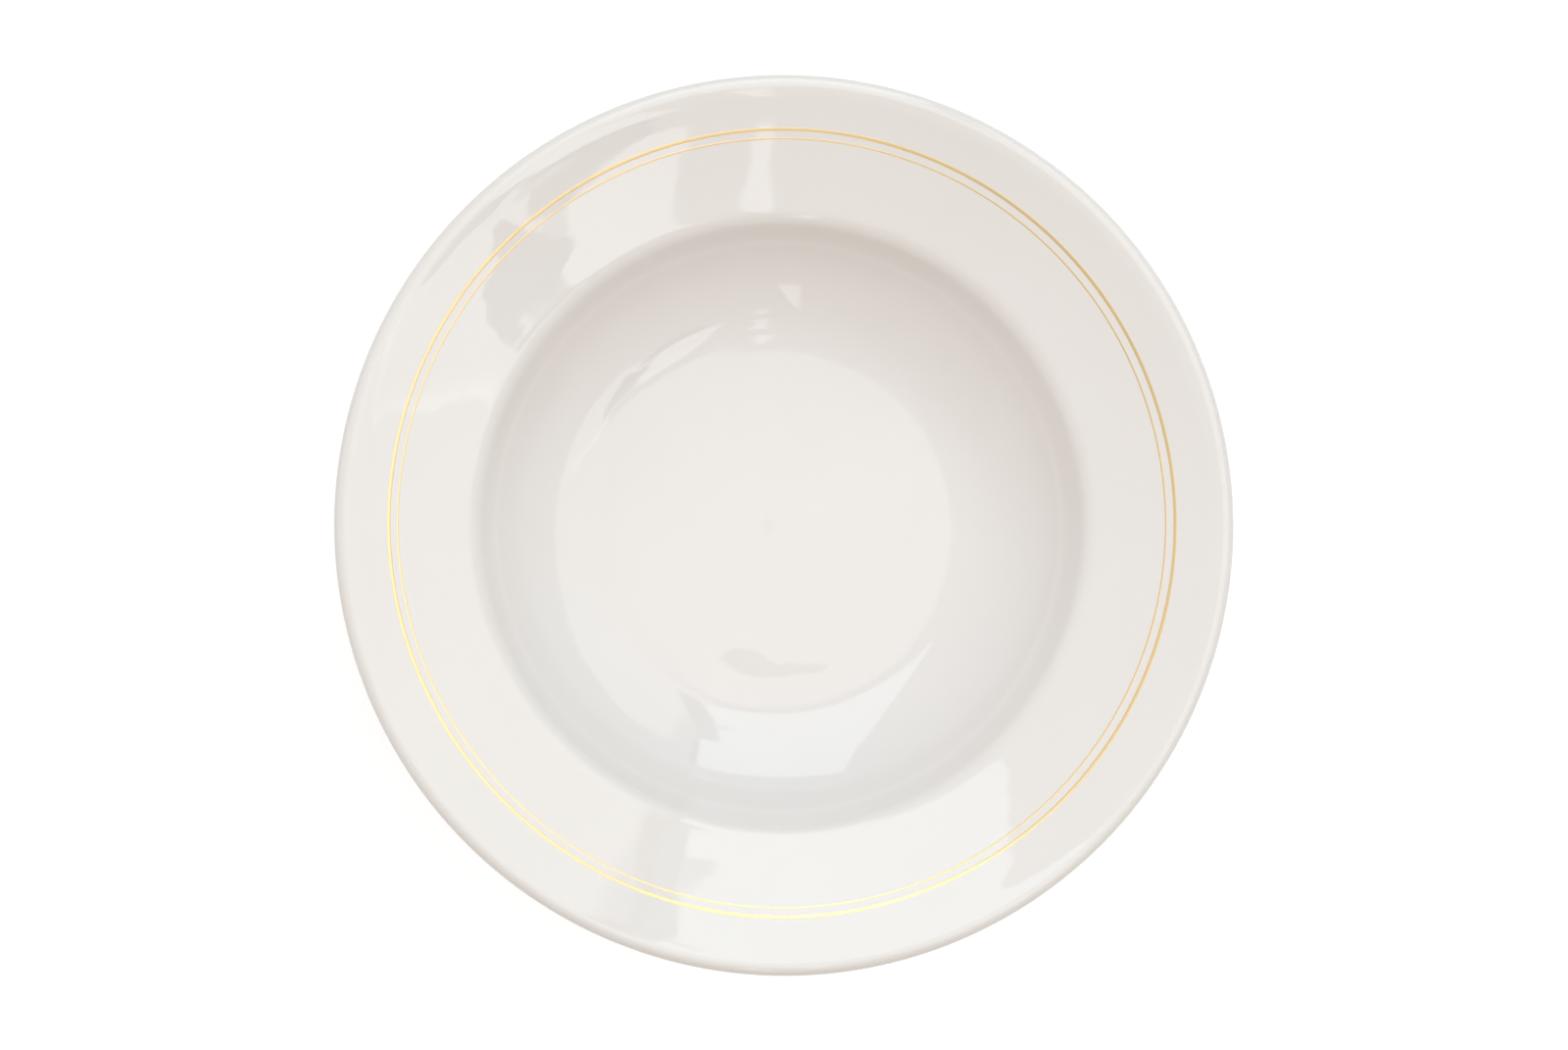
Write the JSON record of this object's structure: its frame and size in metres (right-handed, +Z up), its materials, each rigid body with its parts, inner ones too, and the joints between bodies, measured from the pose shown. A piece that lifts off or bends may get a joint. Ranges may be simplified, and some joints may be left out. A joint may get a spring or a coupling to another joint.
{
  "type": "rimmed soup plate",
  "caption": "Round porcelain soup plate with a deep well, a broad sloping rim, a thick rolled edge, a foot ring and two thin gold lines.",
  "frame": {"origin": "centre of the foot ring, on the surface that the plate stands on", "axes": "+Z up along the plate's axis of revolution; X and Y lie in the table's plane"},
  "size_m": [0.23, 0.23, 0.041],
  "materials": {
    "porcelain": "bare fired porcelain, fine and matt, shown only on the wiped foot",
    "glaze": "clear glossy glaze over warm white porcelain",
    "gold": "bright fired gold line"
  },
  "bodies": {
    "root": {"porcelain_body": "porcelain", "glaze_coat": "glaze", "recess_glaze": "glaze", "outer_gold_line": "gold", "inner_gold_line": "gold"}
  },
  "joints": []
}
